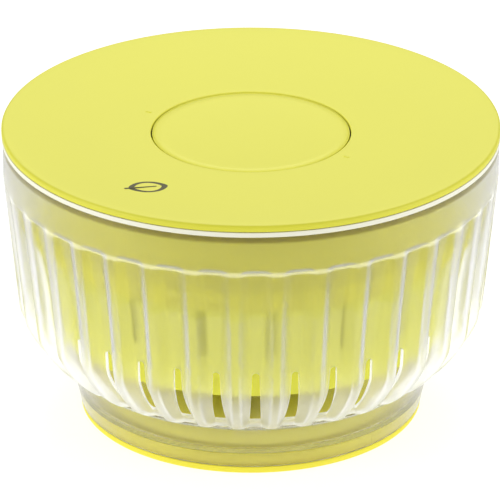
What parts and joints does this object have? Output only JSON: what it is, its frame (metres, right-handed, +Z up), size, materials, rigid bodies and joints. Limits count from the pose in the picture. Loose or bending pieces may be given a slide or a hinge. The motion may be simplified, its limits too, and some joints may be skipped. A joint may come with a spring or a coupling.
{
  "type": "salad spinner",
  "caption": "Hand-pumped salad spinner: slotted fluted bowl on a foot ring, turning basket, dished lid with a flush round button that drives it",
  "frame": {"origin": "centre of the circle that the foot ring stands on", "axes": "+Z up along the turning axis, -Y towards the front"},
  "size_m": [0.2606, 0.2606, 0.1595],
  "materials": {
    "frosted_bowl": "frosted translucent moulded plastic, clearer at the base",
    "soft_foot": "soft non-slip moulding, satin",
    "basket_lime": "satin moulded plastic",
    "lid_lime": "fine matt moulded plastic",
    "button_lime": "fine matt moulded plastic, a shade smoother than the lid",
    "white_plastic": "satin moulded plastic",
    "acetal": "smooth low-friction plastic",
    "steel": "bright stainless steel",
    "spring_steel": "drawn stainless wire"
  },
  "bodies": {
    "bowl": {"outer_bowl": "frosted_bowl", "foot_ring": "soft_foot", "pivot_pin": "steel"},
    "basket_bearing": {"basket_bush": "acetal"},
    "basket": {"basket": "basket_lime"},
    "lid": {"lid_cover": "lid_lime", "mechanism_housing": "white_plastic", "housing_screw_1": "steel", "housing_screw_2": "steel", "housing_screw_3": "steel", "housing_screw_4": "steel", "nut_cap": "white_plastic", "nut_washer": "acetal", "return_spring": "spring_steel"},
    "drive_nut": {"drive_nut": "acetal"},
    "drive_plate": {"drive_plate": "white_plastic", "hub_ring": "white_plastic", "hub_washer": "acetal"},
    "plunger": {"button_carrier": "white_plastic", "spindle": "acetal", "spindle_screw": "steel"},
    "button": {"button_cap": "button_lime"}
  },
  "joints": [
    {"name": "lid_lift", "type": "slide", "parent": "bowl", "child": "lid", "axis": [0, 0, 1], "range_m": [0, 0.24]},
    {"name": "basket_lift", "type": "slide", "parent": "bowl", "child": "basket_bearing", "axis": [0, 0, 1], "range_m": [0, 0.12]},
    {"name": "basket_spin", "type": "hinge", "parent": "basket_bearing", "child": "basket", "pos_m": [0, 0, 0.045], "axis": [0, 0, 1], "continuous": true},
    {"name": "plate_spin", "type": "hinge", "parent": "lid", "child": "drive_plate", "pos_m": [0, 0, 0.1], "axis": [0, 0, 1], "continuous": true},
    {"name": "button_rise", "type": "slide", "parent": "lid", "child": "plunger", "axis": [0, 0, 1], "range_m": [0, 0.034], "deforming": ["return_spring"]},
    {"name": "nut_spin", "type": "hinge", "parent": "lid", "child": "drive_nut", "pos_m": [0, 0, 0.1], "axis": [0, 0, 1], "range_deg": [-306.1, 0]},
    {"name": "button_twist", "type": "hinge", "parent": "plunger", "child": "button", "pos_m": [0, 0, 0.15], "axis": [0, 0, 1], "range_deg": [0, 30]}
  ],
  "couplings": [
    {"joint": "basket_lift", "follows": "lid_lift", "ratio": 0.5},
    {"joint": "plate_spin", "follows": "basket_spin", "ratio": 1},
    {"joint": "nut_spin", "follows": "button_rise", "rad_per_m": -157.08}
  ]
}
